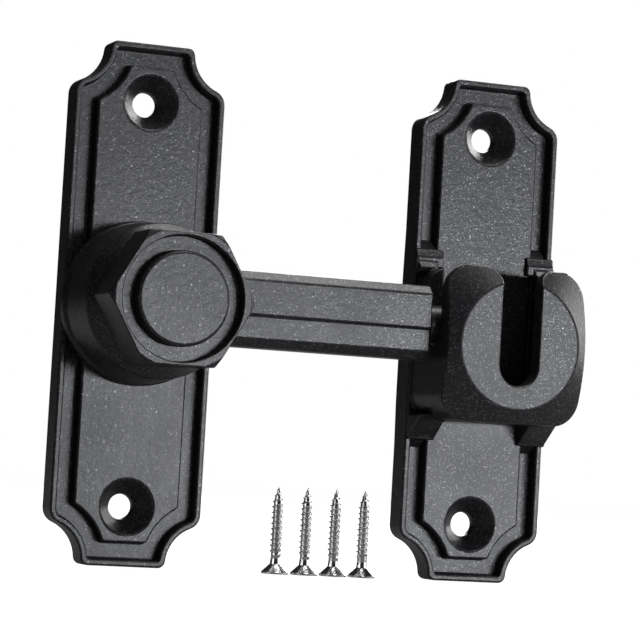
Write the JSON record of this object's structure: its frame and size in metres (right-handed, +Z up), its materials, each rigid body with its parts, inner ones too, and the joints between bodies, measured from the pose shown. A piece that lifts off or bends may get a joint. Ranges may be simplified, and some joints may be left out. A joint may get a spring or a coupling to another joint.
{
  "type": "toggle bolt latch",
  "caption": "Flip-over bar latch: a flat bar turned by a hexagonal knob on a notched door plate drops into a slotted keeper on a matching jamb plate.",
  "frame": {"origin": "centre of the door plate's back face, on the pivot axis", "axes": "+X from the pivot to the keeper along the closed bar, +Y into the door, +Z up"},
  "size_m": [0.1056, 0.0349, 0.1036],
  "materials": {
    "powder_coat": "charcoal black powder coat with fine silver sparkle, satin, on a zinc casting",
    "plated_steel": "zinc plated, turned and rolled",
    "nylon": "natural nylon, satin",
    "screw_steel": "bright nickel plated steel"
  },
  "bodies": {
    "plates": {"door_plate": "powder_coat", "base_collar": "powder_coat", "collar_pins": "plated_steel", "pivot_bolt": "plated_steel", "thrust_washer": "nylon", "disc_spring": "plated_steel", "nut_washer": "plated_steel", "lock_nut": "plated_steel", "keeper_plate": "powder_coat", "keeper_body": "powder_coat", "keeper_screws": "plated_steel", "wood_screws": "screw_steel"},
    "latch": {"latch_arm": "powder_coat", "pivot_bush": "nylon", "bar_stud": "powder_coat", "hex_knob": "powder_coat", "knob_screws": "plated_steel", "knob_cap": "powder_coat"}
  },
  "joints": [
    {"name": "latch_swing", "type": "hinge", "parent": "plates", "child": "latch", "pos_m": [0, 0, 0], "axis": [0, -1, 0], "range_deg": [0, 180]}
  ]
}
